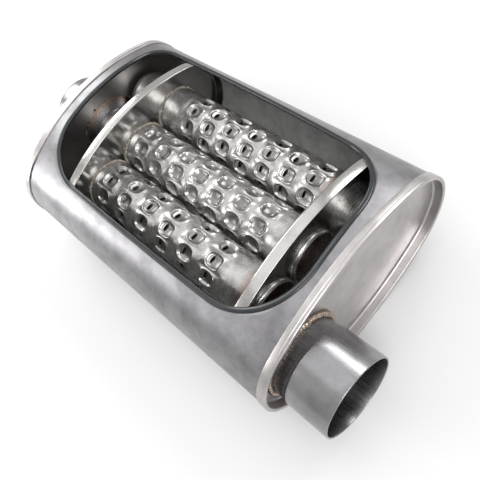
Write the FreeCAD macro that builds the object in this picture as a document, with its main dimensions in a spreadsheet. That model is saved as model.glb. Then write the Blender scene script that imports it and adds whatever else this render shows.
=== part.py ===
"""Three-tube oval muffler with a window cut in its crown, as a parametric document.

Frame: +X points along the body towards the outlet, +Y towards the side away from the outlet pipe, +Z up.
The origin is under the middle of the body, on the surface that the rolled end seams rest on.
"""
import FreeCAD, Part
import math
import os
import Sketcher
from FreeCAD import Placement, Rotation, Vector

# Driving dimensions in millimetres
DIMENSIONS = (
    ("body_width", 248.0),          # oval across, outside the sheet
    ("body_height", 134.0),         # oval from crown to belly, outside the sheet
    ("side_radius", 52.0),          # outside radius of the two small arcs of the oval
    ("body_length", 376.0),         # over the rolled end seams
    ("sheet_wall", 1.5),            # shell sheet
    ("cap_wall", 1.2),              # end cap sheet, which stands proud of the shell where it is rolled over
    ("seam_width", 9.0),            # rolled seam along the body
    ("cap_recess", 10.0),           # end plate below the seam's lip
    ("seam_ease", 0.7),             # eased outer edge of the seam
    ("sheet_rear", 26.0),           # crown sheet left beside the window, from the ends of the body
    ("sheet_front_near", 17.0),
    ("sheet_front_far", 27.0),
    ("sheet_near", 38.5),           # and from its sides
    ("sheet_far_rear", 21.0),
    ("sheet_far_front", 28.0),
    ("bow_near", 6000.0),           # radii of the four slightly bowed sides
    ("bow_far", 2600.0),
    ("bow_rear", 1400.0),
    ("bow_front", 1500.0),
    ("corner_near_rear", 38.0),
    ("corner_near_front", 44.0),
    ("corner_far_front", 46.0),
    ("corner_far_rear", 19.0),
    ("trim_lap", 2.0),              # trim over the sheet beside the window
    ("trim_bead", 2.6),             # trim inside the window
    ("trim_leg", 1.2),              # each leg of the trim, above and below the sheet
    ("baffle_wall", 1.4),
    ("baffle_flange", 12.5),        # flange along the body, plate included
    ("baffle_bend", 1.2),           # eased corner where the plate turns into the flange
    ("rear_chamber", 69.5),         # from the ends of the body to the rear faces of the two plates
    ("front_chamber", 60.5),
    ("tube_radius", 28.5),          # louvred tubes, outside
    ("tube_wall", 1.5),
    ("tube_gap", 0.4),              # between neighbouring tubes
    ("tube_row_offset", 4.6),       # middle tube's axis from the middle of the body
    ("rear_stub", 8.0),             # near tube behind the rear plate
    ("front_stub", 5.5),            # near and middle tubes past the front plate
    ("middle_rear_gap", 7.5),       # middle tube to the inlet end plate, beside the pipe's nose
    ("far_rear_gap", 6.3),          # far tube to the inlet and outlet end plates
    ("far_front_gap", 6.8),
    ("louvre_radius", 7.8),         # pressed louvre at the tube's surface
    ("louvre_depth", 4.4),
    ("louvre_wall", 1.6),           # pressed metal under the louvre
    ("louvre_count", 9.0),          # louvres in one ring
    ("slit_setback", 3.4),          # slit, at the louvre's deepest point, from the bowl's middle
    ("near_lead", 23.5),            # rear plate to the first ring, and last ring to the front plate
    ("near_tail", 57.5),
    ("near_rings", 6.0),
    ("near_phase", 52.0),           # angle of the first ring's first louvre from +Y
    ("near_turn", 16.7),            # each ring turned on from the one behind it
    ("middle_lead", 23.5),
    ("middle_tail", 46.7),
    ("middle_rings", 7.0),
    ("middle_phase", 72.0),
    ("middle_turn", 20.0),
    ("far_lead", 46.5),
    ("far_tail", 31.5),
    ("far_rings", 7.0),
    ("far_phase", 52.0),
    ("far_turn", 20.0),
    ("pipe_radius", 38.1),          # inlet and outlet pipes, outside
    ("pipe_wall", 1.6),
    ("sized_radius", 39.7),         # mouth sized up to slip over a pipe, outside
    ("sized_length", 42.0),
    ("sizing_taper", 6.0),
    ("pipe_reach", 51.5),           # pipe past the seam's lip
    ("outlet_inset", 53.4),         # outlet axis from the near side of the body
    ("outlet_inside", 26.0),        # outlet pipe past the inner face of its end plate
    ("nose_reach", 18.0),           # inlet pipe past its end plate, necked down into the middle tube
    ("nose_taper", 6.0),
    ("nose_gap", 0.4),              # nose to the tube's bore
    ("pipe_weld_leg", 4.5),
    ("tube_weld_leg", 3.0),
    ("seam_weld_width", 5.0),
    ("seam_weld_proud", 0.6),
)
# Sizes that follow from the others
DERIVED = (
    ("crown_radius", "=((body_width / 2 - side_radius)^2 + body_height^2 / 4 - side_radius^2)"
                     " / (body_height - 2 * side_radius)"),
    ("side_centre", "=body_width / 2 - side_radius"),
    ("crown_drop", "=crown_radius - body_height / 2"),
    ("axis_height", "=body_height / 2 + cap_wall"),
    ("half_length", "=body_length / 2"),
    ("plate_inside", "=half_length - cap_recess - cap_wall"),
    ("tube_spacing", "=2 * tube_radius + tube_gap"),
    ("window_rear", "=half_length - sheet_rear"),
    ("window_front_near", "=half_length - sheet_front_near"),
    ("window_front_far", "=half_length - sheet_front_far"),
    ("window_near", "=body_width / 2 - sheet_near"),
    ("window_far_rear", "=body_width / 2 - sheet_far_rear"),
    ("window_far_front", "=body_width / 2 - sheet_far_front"),
    ("rear_baffle_back", "=half_length - rear_chamber"),
    ("front_baffle_back", "=half_length - front_chamber"),
    ("middle_tube_rear", "=plate_inside - middle_rear_gap"),
    ("far_tube_rear", "=plate_inside - far_rear_gap"),
    ("far_tube_front", "=plate_inside - far_front_gap"),
    ("outlet_offset", "=body_width / 2 - outlet_inset"),
    ("nose_radius", "=tube_radius - tube_wall - nose_gap"),
    ("nose_slope", "=(pipe_radius - nose_radius) / nose_taper"),
    ("nose_shift", "=pipe_wall * (sqrt(1 + nose_slope^2) - 1) / nose_slope"),
)
NO_OFFSET = ()
INSIDE = (("sheet_wall", -1),)
INSIDE_CAP = (("sheet_wall", -1), ("cap_wall", -1))
PROUD = (("cap_wall", 1),)

doc = FreeCAD.newDocument("muffler")
sheet = doc.addObject("Spreadsheet::Sheet", "Sizes")
for row, (alias, value) in enumerate(DIMENSIONS + DERIVED, start=1):
    sheet.set("A%d" % row, alias)
    sheet.set("B%d" % row, str(value))
    sheet.setAlias("B%d" % row, alias)
doc.recompute()
parts = []


def size(alias):
    """Present value of a sheet cell."""
    return float(sheet.get(alias))


def offset_value(offset):
    """Value of an outward offset, given as pairs of alias and sign."""
    return sum(sign * size(alias) for alias, sign in offset)


def offset_formula(offset):
    """The same offset as a formula."""
    return "".join(" %s Sizes.%s" % ("+" if sign > 0 else "-", alias) for alias, sign in offset)


def keep(item, label):
    """Name a finished sub-part and list it for export."""
    item.Label = label
    parts.append(item)
    return item


def new_body(label):
    """Empty body with a label."""
    body = doc.addObject("PartDesign::Body", label)
    body.Label = label
    return body


def new_sketch(body, role, name, station):
    """Sketch on an origin plane of its body, moved along the plane's normal by the formula station."""
    sketch = body.newObject("Sketcher::SketchObject", name)
    plane = [feature for feature in body.Origin.OriginFeatures if feature.Role == role][0]
    sketch.AttachmentSupport = [(plane, "")]
    sketch.MapMode = "FlatFace"
    sketch.setExpression("AttachmentOffset.Base.z", station)
    if role == "YZ_Plane":
        sketch.setExpression("AttachmentOffset.Base.y", "Sizes.axis_height")
    return sketch


def limit(sketch, kind, references, name, formula, value):
    """Named dimension of a sketch, tied to a formula."""
    mark = sketch.addConstraint(Sketcher.Constraint(kind, *references, value))
    sketch.renameConstraint(mark, name)
    sketch.setExpression("Constraints." + name, formula)


def add_oval(sketch, offset):
    """Closed oval of four tangent arcs, parallel to the outside of the shell."""
    side = size("side_radius") + offset_value(offset)
    crown = size("crown_radius") + offset_value(offset)
    centre = size("side_centre")
    drop = size("crown_drop")
    turn = math.atan2(drop, centre)
    arcs = (
        (Vector(centre, 0, 0), side, -turn, turn),
        (Vector(0, -drop, 0), crown, turn, math.pi - turn),
        (Vector(-centre, 0, 0), side, math.pi - turn, math.pi + turn),
        (Vector(0, drop, 0), crown, math.pi + turn, 2 * math.pi - turn),
    )
    first = sketch.GeometryCount
    for middle, radius, start, end in arcs:
        circle = Part.Circle(middle, Vector(0, 0, 1), radius)
        sketch.addGeometry(Part.ArcOfCircle(circle, start, end), False)
    for number in range(4):
        following = first + (number + 1) % 4
        sketch.addConstraint(Sketcher.Constraint("Tangent", first + number, 2, following, 1))
    tag = "Oval%d" % first
    right, crown_arc, left, belly_arc = range(first, first + 4)
    sketch.addConstraint(Sketcher.Constraint("PointOnObject", right, 3, -1))
    sketch.addConstraint(Sketcher.Constraint("PointOnObject", left, 3, -1))
    limit(sketch, "DistanceX", (-1, 1, right, 3), tag + "Right", "Sizes.side_centre", centre)
    limit(sketch, "DistanceX", (left, 3, -1, 1), tag + "Left", "Sizes.side_centre", centre)
    for name, arc, base, radius in (
        ("RightRadius", right, "side_radius", side),
        ("LeftRadius", left, "side_radius", side),
        ("CrownRadius", crown_arc, "crown_radius", crown),
        ("BellyRadius", belly_arc, "crown_radius", crown),
    ):
        limit(sketch, "Radius", (arc,), tag + name, "Sizes." + base + offset_formula(offset), radius)


def oval_feature(body, kind, name, side, station, length, offsets):
    """Pad or pocket of one or two ovals; side is 1 for the outlet end and -1 for the inlet end."""
    sketch = new_sketch(body, "YZ_Plane", name + "Sketch", "%d * (%s)" % (side, station))
    for offset in offsets:
        add_oval(sketch, offset)
    feature = body.newObject(kind, name)
    feature.Profile = sketch
    feature.setExpression("Length", length)
    feature.Reversed = side < 0
    doc.recompute()
    return feature


def pipe_hole(body, name, side, station, length, centres, radius):
    """Pocket of round holes through an end plate or baffle; centres are formulas along +Y."""
    sketch = new_sketch(body, "YZ_Plane", name + "Sketch", "%d * (%s)" % (side, station))
    for number, (centre, start) in enumerate(centres):
        hole = sketch.addGeometry(Part.Circle(Vector(start, 0, 0), Vector(0, 0, 1), size(radius)), False)
        sketch.addConstraint(Sketcher.Constraint("PointOnObject", hole, 3, -1))
        references = (-1, 1, hole, 3) if start > 0 else (hole, 3, -1, 1)
        limit(sketch, "DistanceX", references, "Centre%d" % number, centre, abs(start))
        limit(sketch, "Radius", (hole,), "Radius%d" % number, "Sizes." + radius, size(radius))
    feature = body.newObject("PartDesign::Pocket", name)
    feature.Profile = sketch
    feature.setExpression("Length", length)
    feature.Reversed = side < 0
    before = body.Shape.Volume
    doc.recompute()
    if body.Shape.Volume >= before:
        raise RuntimeError(name + " cuts nothing")


def from_shell(point):
    """Distance of a point outside the outer face of the shell, negative inside."""
    across = abs(point.y)
    up = abs(point.z - size("axis_height"))
    centre = size("side_centre")
    drop = size("crown_drop")
    if up * centre < (across - centre) * -drop or across > centre + up * centre / drop:
        return math.hypot(across - centre, up) - size("side_radius")
    return math.hypot(across, up + drop) - size("crown_radius")


def ease_edges(body, name, station, distance, setback):
    """Chamfer the oval edges at a station along X that lie at a distance from the shell's outer face."""
    base = body.Tip
    names = []
    for number, edge in enumerate(base.Shape.Edges, start=1):
        ends = edge.BoundBox
        middle = edge.valueAt((edge.FirstParameter + edge.LastParameter) / 2)
        flat = abs(ends.XMin - station) < 0.01 and abs(ends.XMax - station) < 0.01
        if flat and abs(from_shell(middle) - distance) < 0.05:
            names.append("Edge%d" % number)
    feature = body.newObject("PartDesign::Chamfer", name)
    feature.Base = (base, names)
    feature.setExpression("Size", setback)
    doc.recompute()


def make_shell_sheet():
    """Wrapped sheet between the lips of the two rolled seams, before the window is cut."""
    body = new_body("shell_sheet")
    sketch = new_sketch(body, "YZ_Plane", "SheetSketch", "0")
    add_oval(sketch, NO_OFFSET)
    add_oval(sketch, INSIDE)
    pad = body.newObject("PartDesign::Pad", "Sheet")
    pad.Profile = sketch
    pad.Midplane = True
    pad.setExpression("Length", "2 * (Sizes.half_length - Sizes.cap_wall)")
    doc.recompute()
    return body


def make_window_tool(name, growth):
    """Upright block with the window's outline, grown outwards by an offset."""
    grow = offset_value(growth)
    plus = offset_formula(growth)
    corners = (
        ("NearRear", -1, "window_rear", -1, "window_near", "corner_near_rear"),
        ("NearFront", 1, "window_front_near", -1, "window_near", "corner_near_front"),
        ("FarFront", 1, "window_front_far", 1, "window_far_front", "corner_far_front"),
        ("FarRear", -1, "window_rear", 1, "window_far_rear", "corner_far_rear"),
    )
    bows = ("bow_near", "bow_front", "bow_far", "bow_rear")
    points = [Vector(sx * (size(x) + grow), sy * (size(y) + grow), 0) for _, sx, x, sy, y, _ in corners]
    body = new_body(name)
    sketch = new_sketch(body, "XY_Plane", name + "Sketch", "Sizes.axis_height")
    for number, bow in enumerate(bows):
        start = points[number]
        end = points[(number + 1) % 4]
        radius = size(bow) + grow
        chord = end.sub(start)
        rise = radius - math.sqrt(radius ** 2 - chord.Length ** 2 / 4)
        outward = Vector(chord.y, -chord.x, 0).normalize()
        crest = (start + end) * 0.5 + outward * rise
        sketch.addGeometry(Part.Arc(start, crest, end), False)
    for number in range(4):
        sketch.addConstraint(Sketcher.Constraint("Coincident", number, 2, (number + 1) % 4, 1))
    for number, (name_of, sx, x, sy, y, _) in enumerate(corners):
        for kind, sign, alias in (("DistanceX", sx, x), ("DistanceY", sy, y)):
            references = (-1, 1, number, 1) if sign > 0 else (number, 1, -1, 1)
            limit(sketch, kind, references, name_of + kind[-1], "Sizes." + alias + plus, size(alias) + grow)
    for number, bow in enumerate(bows):
        limit(sketch, "Radius", (number,), "Side%d" % number, "Sizes." + bow + plus, size(bow) + grow)
    pad = body.newObject("PartDesign::Pad", name + "Pad")
    pad.Profile = sketch
    pad.setExpression("Length", "Sizes.body_height")
    doc.recompute()
    for (name_of, _, _, _, _, corner), point in zip(corners, points):
        base = body.Tip
        names = []
        for number, edge in enumerate(base.Shape.Edges, start=1):
            box = edge.BoundBox
            upright = box.ZLength > size("body_height") - 0.01
            if upright and abs(box.XMin - point.x) < 0.1 and abs(box.YMin - point.y) < 0.1:
                names.append("Edge%d" % number)
        fillet = body.newObject("PartDesign::Fillet", name + name_of)
        fillet.Base = (base, names)
        fillet.setExpression("Radius", "Sizes." + corner + plus)
        doc.recompute()
    return body


def combine(kind, name, base, tool):
    """Boolean of two objects."""
    result = doc.addObject(kind, name)
    result.Base = base
    result.Tool = tool
    doc.recompute()
    return result


def make_shell(blank):
    """Shell with its window."""
    return keep(combine("Part::Cut", "shell", blank, make_window_tool("WindowCutter", NO_OFFSET)), "shell")


def make_window_trim(shell, baffles):
    """Edge strip that wraps the cut edge of the window, notched below the sheet over the baffles' flanges."""
    layer = new_body("trim_layer")
    sketch = new_sketch(layer, "YZ_Plane", "LayerSketch", "0")
    add_oval(sketch, (("trim_leg", 1),))
    add_oval(sketch, (("sheet_wall", -1), ("trim_leg", -1)))
    pad = layer.newObject("PartDesign::Pad", "Layer")
    pad.Profile = sketch
    pad.Midplane = True
    pad.setExpression("Length", "Sizes.body_length")
    doc.recompute()
    ring = combine("Part::Common", "TrimOuter", layer, make_window_tool("TrimOutline", (("trim_lap", 1),)))
    ring = combine("Part::Cut", "TrimRing", ring, make_window_tool("TrimOpening", (("trim_bead", -1),)))
    ring = combine("Part::Cut", "TrimChannel", ring, shell)
    for baffle in baffles:
        ring = combine("Part::Cut", "TrimOver_" + baffle.Label, ring, baffle)
    return keep(ring, "window_trim")


def make_end_cap(label, side, offset, sign):
    """Dished end plate whose rim is rolled over the end of the shell, with the hole for its pipe."""
    body = new_body(label)
    oval_feature(body, "PartDesign::Pad", label + "Block", side, "Sizes.plate_inside",
                 "Sizes.cap_recess + Sizes.cap_wall", (INSIDE,))
    oval_feature(body, "PartDesign::Pocket", label + "Dish", side, "Sizes.half_length",
                 "Sizes.cap_recess", (INSIDE_CAP,))
    oval_feature(body, "PartDesign::Pad", label + "Lip", side, "Sizes.half_length - Sizes.cap_wall",
                 "Sizes.cap_wall", (PROUD, INSIDE))
    oval_feature(body, "PartDesign::Pad", label + "Roll", side, "Sizes.half_length - Sizes.seam_width",
                 "Sizes.seam_width - Sizes.cap_wall", (PROUD, NO_OFFSET))
    pipe_hole(body, label + "Hole", side, "Sizes.half_length", "Sizes.cap_recess + 2 * Sizes.cap_wall",
              (("Sizes." + offset, sign * size(offset)),), "pipe_radius")
    ease_edges(body, label + "Ease", side * size("half_length"), size("cap_wall"), "Sizes.seam_ease")
    return keep(body, label)


def tube_axis(position):
    """Y of a louvred tube's axis; position is -1, 0 or 1 for the near, middle or far tube."""
    return size("tube_row_offset") + position * size("tube_spacing")


def make_baffle(label, side, back):
    """Stamped oval plate with a flange towards the outlet and three holes for the tubes."""
    body = new_body(label)
    start = "%d * Sizes.%s" % (side, back)
    oval_feature(body, "PartDesign::Pad", label + "Block", 1, start, "Sizes.baffle_flange", (INSIDE,))
    oval_feature(body, "PartDesign::Pocket", label + "Dish", 1, start + " + Sizes.baffle_flange",
                 "Sizes.baffle_flange - Sizes.baffle_wall", ((("sheet_wall", -1), ("baffle_wall", -1)),))
    spacing = "Sizes.tube_spacing"
    centres = (
        (spacing + " - Sizes.tube_row_offset", tube_axis(-1)),
        ("Sizes.tube_row_offset", tube_axis(0)),
        (spacing + " + Sizes.tube_row_offset", tube_axis(1)),
    )
    pipe_hole(body, label + "Holes", 1, start + " + Sizes.baffle_wall", "2 * Sizes.baffle_wall",
              centres, "tube_radius")
    station = side * size(back)
    ease_edges(body, label + "Bend", station, -size("sheet_wall"), "Sizes.baffle_bend")
    return keep(body, label)


def along_x(x, y):
    """Placement that lays a primitive's own Z axis along +X at the height of the tubes' axes."""
    return Placement(Vector(x, y, size("axis_height")), Rotation(Vector(0, 1, 0), 90))


def round_bar(x, y, radius, length):
    """Solid cylinder along +X."""
    bar = Part.makeCylinder(radius, length)
    bar.Placement = along_x(x, y)
    return bar


def pressing(sides, turn, radius, depth, lean):
    """Pointed tool with flat sides, wider outwards; its radius is taken at the tube's surface."""
    surface = size("tube_radius")
    tip = Vector(lean, 0, surface - depth)
    rim = []
    for corner in range(sides):
        angle = math.radians(turn + corner * 360.0 / sides)
        edge = Vector(radius * math.cos(angle), radius * math.sin(angle), surface)
        rim.append(tip + (edge - tip) * 2)
    faces = [Part.Face(Part.makePolygon([tip, rim[n], rim[(n + 1) % sides], tip])) for n in range(sides)]
    faces.append(Part.Face(Part.makePolygon(rim + rim[:1])))
    return Part.makeSolid(Part.makeShell(faces))


def sheared(tool, slit_side):
    """Tool cut off flat at the line where the sheet is slit before it is pressed in."""
    reach = 4 * size("tube_radius")
    behind = Part.makeBox(reach, reach, reach)
    line = slit_side * size("slit_setback")
    behind.translate(Vector(line if slit_side > 0 else line - reach, -reach / 2, -reach / 4))
    return tool.cut(behind)


def at_louvre(shape, x, y, angle):
    """Copy of a tool that points outwards along +Z, turned to one louvre of a ring."""
    turned = shape.copy()
    turn = Rotation(Vector(1, 0, 0), angle - 90)
    turned.Placement = Placement(Vector(x, y, size("axis_height")), turn)
    return turned


def make_louvred_tube(label, position, rear, front, slit_side):
    """Tube with rings of pressed louvres, each turned on a little; slit_side -1 opens them rearwards."""
    name = label.split("_")[0]
    y = tube_axis(position)
    radius = size("tube_radius")
    wall = size("tube_wall")
    depth = size("louvre_depth")
    lean = slit_side * size("slit_setback")
    outer = round_bar(rear, y, radius, front - rear)
    bore = round_bar(rear, y, radius - wall, front - rear)
    bowl = sheared(pressing(6, 0, size("louvre_radius"), depth, lean), slit_side)
    boss_radius = size("louvre_radius") * math.sqrt(2)
    boss = sheared(pressing(4, 45, boss_radius, depth + size("louvre_wall"), lean), slit_side)
    count = int(round(size("louvre_count")))
    rings = int(round(size(name + "_rings")))
    first = size(name + "_lead") - size("rear_baffle_back")
    last = size("front_baffle_back") - size(name + "_tail")
    bowls = []
    bosses = []
    for ring in range(rings):
        x = first + ring * (last - first) / (rings - 1)
        for number in range(count):
            angle = size(name + "_phase") + ring * size(name + "_turn") + number * 360.0 / count
            bowls.append(at_louvre(bowl, x, y, angle))
            bosses.append(at_louvre(boss, x, y, angle))
    tube = outer.cut(bore.cut(Part.makeCompound(bosses))).cut(Part.makeCompound(bowls))
    item = doc.addObject("Part::Feature", label)
    item.Shape = tube.Solids[0] if len(tube.Solids) == 1 else tube
    return keep(item, label)


def bar_object(name, station, offset, radius, length):
    """Cylinder along X whose sizes follow formulas."""
    bar = doc.addObject("Part::Cylinder", name)
    bar.setExpression("Radius", radius)
    bar.setExpression("Height", length)
    place_along_x(bar, station, offset)
    return bar


def cone_object(name, station, offset, start, end, length):
    """Cone frustum along X whose sizes follow formulas."""
    cone = doc.addObject("Part::Cone", name)
    cone.setExpression("Radius1", start)
    cone.setExpression("Radius2", end)
    cone.setExpression("Height", length)
    place_along_x(cone, station, offset)
    return cone


def place_along_x(item, station, offset):
    """Turn a primitive along +X and tie its place to formulas."""
    item.Placement = Placement(Vector(0, 0, 0), Rotation(Vector(0, 1, 0), 90))
    item.setExpression("Placement.Base.x", station)
    item.setExpression("Placement.Base.y", offset)
    item.setExpression("Placement.Base.z", "Sizes.axis_height")


def outlet_blank(name, less):
    """Solid outline of the outlet pipe with its sized-up mouth, made smaller all over by less."""
    reach = "Sizes.half_length + Sizes.pipe_reach"
    neck_end = reach + " - Sizes.sized_length - Sizes.sizing_taper"
    inner_end = "Sizes.plate_inside - Sizes.outlet_inside"
    offset = "-Sizes.outlet_offset"
    thin = "Sizes.pipe_radius" + less
    wide = "Sizes.sized_radius" + less
    return fused(name, [
        bar_object(name + "Neck", inner_end, offset, thin, "%s - (%s)" % (neck_end, inner_end)),
        cone_object(name + "Taper", neck_end, offset, thin, wide, "Sizes.sizing_taper"),
        bar_object(name + "Mouth", reach + " - Sizes.sized_length", offset, wide, "Sizes.sized_length"),
    ])


def inlet_blank(name, less, shift):
    """Solid outline of the inlet pipe, from its sized-up mouth to the nose in the middle tube."""
    reach = "Sizes.half_length + Sizes.pipe_reach"
    neck_end = reach + " - Sizes.sized_length - Sizes.sizing_taper"
    bend = "Sizes.plate_inside" + shift
    nose = "Sizes.nose_reach - Sizes.nose_taper"
    offset = "Sizes.tube_row_offset"
    narrow = "Sizes.nose_radius" + less
    thin = "Sizes.pipe_radius" + less
    wide = "Sizes.sized_radius" + less
    return fused(name, [
        bar_object(name + "Mouth", "-(%s)" % reach, offset, wide, "Sizes.sized_length"),
        cone_object(name + "Taper", "-(%s) - Sizes.sizing_taper" % neck_end, offset, wide, thin,
                    "Sizes.sizing_taper"),
        bar_object(name + "Neck", "-(%s)" % neck_end, offset, thin, "%s - (%s)" % (neck_end, bend)),
        cone_object(name + "Cone", "-(%s)" % bend, offset, thin, narrow, "Sizes.nose_taper"),
        bar_object(name + "Nose", "-(%s) + Sizes.nose_taper" % bend, offset, narrow, nose + shift),
    ])


def fused(name, pieces):
    """Union of several objects."""
    whole = doc.addObject("Part::MultiFuse", name)
    whole.Shapes = pieces
    doc.recompute()
    return whole


def make_pipes():
    """Outlet pipe, open inside the front chamber, and inlet pipe, open into the middle tube."""
    less = " - Sizes.pipe_wall"
    outlet = outlet_blank("OutletOuter", ""), outlet_blank("OutletBore", less)
    keep(combine("Part::Cut", "outlet_pipe", *outlet), "outlet_pipe")
    inlet = inlet_blank("InletOuter", "", ""), inlet_blank("InletBore", less, " + Sizes.nose_shift")
    keep(combine("Part::Cut", "inlet_pipe", *inlet), "inlet_pipe")


def make_pipe_weld(label, side, offset):
    """Fillet weld in the corner between a pipe and the outer face of its end plate."""
    face = "(Sizes.half_length - Sizes.cap_recess)"
    leg = "Sizes.pipe_weld_leg"
    wide = "Sizes.pipe_radius + " + leg
    if side > 0:
        cone = cone_object(label + "_bead", face, offset, wide, "Sizes.pipe_radius", leg)
        core = bar_object(label + "_core", face, offset, "Sizes.pipe_radius", leg)
    else:
        start = "-" + face + " - " + leg
        cone = cone_object(label + "_bead", start, offset, "Sizes.pipe_radius", wide, leg)
        core = bar_object(label + "_core", start, offset, "Sizes.pipe_radius", leg)
    return keep(combine("Part::Cut", label, cone, core), label)


def make_tube_weld(label, position, side, back):
    """Fillet weld round a louvred tube on the side of the baffle where the louvres are."""
    axis = "Sizes.tube_row_offset + %d * Sizes.tube_spacing" % position
    leg = "Sizes.tube_weld_leg"
    wide = "Sizes.tube_radius + " + leg
    if side < 0:
        start = "-Sizes.%s + Sizes.baffle_wall" % back
        cone = cone_object(label + "_bead", start, axis, wide, "Sizes.tube_radius", leg)
    else:
        start = "Sizes.%s - %s" % (back, leg)
        cone = cone_object(label + "_bead", start, axis, "Sizes.tube_radius", wide, leg)
    core = bar_object(label + "_core", start, axis, "Sizes.tube_radius", leg)
    ring = combine("Part::Cut", label + "_ring", cone, core)
    room = doc.addObject("Part::Box", label + "_room")
    room.setExpression("Length", leg)
    room.setExpression("Width", "Sizes.tube_spacing")
    room.setExpression("Height", "Sizes.body_height")
    room.setExpression("Placement.Base.x", start)
    room.setExpression("Placement.Base.y", axis + " - Sizes.tube_spacing / 2")
    return keep(combine("Part::Common", label, ring, room), label)


def make_seam_weld():
    """Lengthwise weld that closes the wrapped sheet, along the belly between the rolled seams."""
    layer = new_body("seam_weld_layer")
    sketch = new_sketch(layer, "YZ_Plane", "WeldLayerSketch", "0")
    add_oval(sketch, (("seam_weld_proud", 1),))
    add_oval(sketch, NO_OFFSET)
    pad = layer.newObject("PartDesign::Pad", "WeldLayer")
    pad.Profile = sketch
    pad.Midplane = True
    pad.setExpression("Length", "2 * (Sizes.half_length - Sizes.seam_width)")
    doc.recompute()
    strip = doc.addObject("Part::Box", "seam_weld_strip")
    strip.setExpression("Length", "Sizes.body_length")
    strip.setExpression("Width", "Sizes.seam_weld_width")
    strip.setExpression("Height", "Sizes.axis_height")
    strip.setExpression("Placement.Base.x", "-Sizes.half_length")
    strip.setExpression("Placement.Base.y", "-Sizes.seam_weld_width / 2")
    return keep(combine("Part::Common", "shell_seam_weld", layer, strip), "shell_seam_weld")


def make_tubes():
    """The three louvred tubes: the middle one longer at the rear, the far one at both ends."""
    rear = -size("rear_baffle_back") - size("rear_stub")
    front = size("front_baffle_back") + size("baffle_wall") + size("front_stub")
    make_louvred_tube("near_louvred_tube", -1, rear, front, -1)
    make_louvred_tube("middle_louvred_tube", 0, -size("middle_tube_rear"), front, 1)
    make_louvred_tube("far_louvred_tube", 1, -size("far_tube_rear"), size("far_tube_front"), -1)


def check_and_export():
    """Stop on any failed object or shape, then write one STEP file for each sub-part."""
    doc.recompute()
    for item in doc.Objects:
        if "Invalid" in item.State or "Error" in item.State:
            raise RuntimeError("%s failed: %s" % (item.Name, item.State))
    os.makedirs("parts", exist_ok=True)
    for item in parts:
        shape = item.Shape
        if shape.isNull() or not shape.isValid() or not shape.Solids:
            raise RuntimeError(item.Label + " has no valid solid")
        if len(shape.Solids) > 1:
            raise RuntimeError("%s has %d solids" % (item.Label, len(shape.Solids)))
    for item in parts:
        item.Shape.exportStep("parts/%s.step" % item.Label)
        print("%-24s %10.1f mm3" % (item.Label, item.Shape.Volume))


shell = make_shell(make_shell_sheet())
make_end_cap("inlet_end_cap", -1, "tube_row_offset", 1)
make_end_cap("outlet_end_cap", 1, "outlet_offset", -1)
rear_baffle = make_baffle("rear_baffle", -1, "rear_baffle_back")
front_baffle = make_baffle("front_baffle", 1, "front_baffle_back")
make_window_trim(shell, (rear_baffle, front_baffle))
make_tubes()
make_pipes()
make_pipe_weld("inlet_pipe_weld", -1, "Sizes.tube_row_offset")
make_pipe_weld("outlet_pipe_weld", 1, "-Sizes.outlet_offset")
for position, name in ((-1, "near"), (0, "middle"), (1, "far")):
    make_tube_weld(name + "_tube_rear_weld", position, -1, "rear_baffle_back")
    make_tube_weld(name + "_tube_front_weld", position, 1, "front_baffle_back")
make_seam_weld()
check_and_export()
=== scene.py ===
"""Looks of the oval cutaway muffler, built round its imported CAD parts.

Sizes are in millimetres in the part's own frame: +X to the outlet, +Y to the far side, +Z up.
"""
import logging
import math
from dataclasses import dataclass
from enum import Enum
from itertools import accumulate
from typing import Optional, Sequence, Union

import bmesh
import bpy
from bpy.types import ID, Material, Mesh, Node, NodeSocket, NodeTree, Object
from mathutils import Matrix, Vector


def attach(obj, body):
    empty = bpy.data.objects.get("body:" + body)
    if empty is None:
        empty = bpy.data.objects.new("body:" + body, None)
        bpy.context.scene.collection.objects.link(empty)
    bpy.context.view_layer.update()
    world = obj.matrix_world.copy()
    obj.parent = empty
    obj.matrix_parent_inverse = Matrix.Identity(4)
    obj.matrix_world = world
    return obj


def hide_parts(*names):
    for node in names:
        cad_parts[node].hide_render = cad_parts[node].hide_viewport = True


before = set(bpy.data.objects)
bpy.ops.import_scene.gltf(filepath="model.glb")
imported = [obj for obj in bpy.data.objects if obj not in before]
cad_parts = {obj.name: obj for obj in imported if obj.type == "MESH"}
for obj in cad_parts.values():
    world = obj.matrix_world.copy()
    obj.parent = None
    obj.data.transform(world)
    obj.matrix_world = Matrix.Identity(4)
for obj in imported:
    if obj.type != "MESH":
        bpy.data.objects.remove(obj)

MM = 0.001
AXIS = 68.2
TURN = 2 * math.pi
MERGE = 0.00002
TILE_MERGE = 0.03 * MM
SHADER = "Principled BSDF"
MATH = "ShaderNodeMath"
MIX = "ShaderNodeMix"
Plan = tuple[float, float]
Point = tuple[float, float, float]
Source = Union[Node, NodeSocket, float, Sequence[float]]
Rows = list[list[Point]]
log = logging.getLogger("muffler")


class End(Enum):
    """The two ends of the body, by the sign of X."""

    INLET = -1
    OUTLET = 1


# Helpers


def linear(code: str) -> tuple[float, float, float, float]:
    """Turn an sRGB hex colour into linear values.

    Args:
        code: Six hex digits.

    Returns:
        Red, green, blue and an alpha of 1.
    """
    values = [int(code[i:i + 2], 16) / 255 for i in (0, 2, 4)]
    flat = [v / 12.92 if v <= 0.04045 else ((v + 0.055) / 1.055) ** 2.4 for v in values]
    return flat[0], flat[1], flat[2], 1.0


def feed(tree: NodeTree, node: Node, inputs: dict) -> None:
    """Set or link inputs of a node.

    Args:
        tree: The node's tree.
        node: The node.
        inputs: Values, sockets, or nodes for their first outputs, by the input's name or number.
    """
    for key, value in inputs.items():
        if isinstance(value, (Node, NodeSocket)):
            tree.links.new(value.outputs[0] if isinstance(value, Node) else value, node.inputs[key])
        else:
            node.inputs[key].default_value = value


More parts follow.
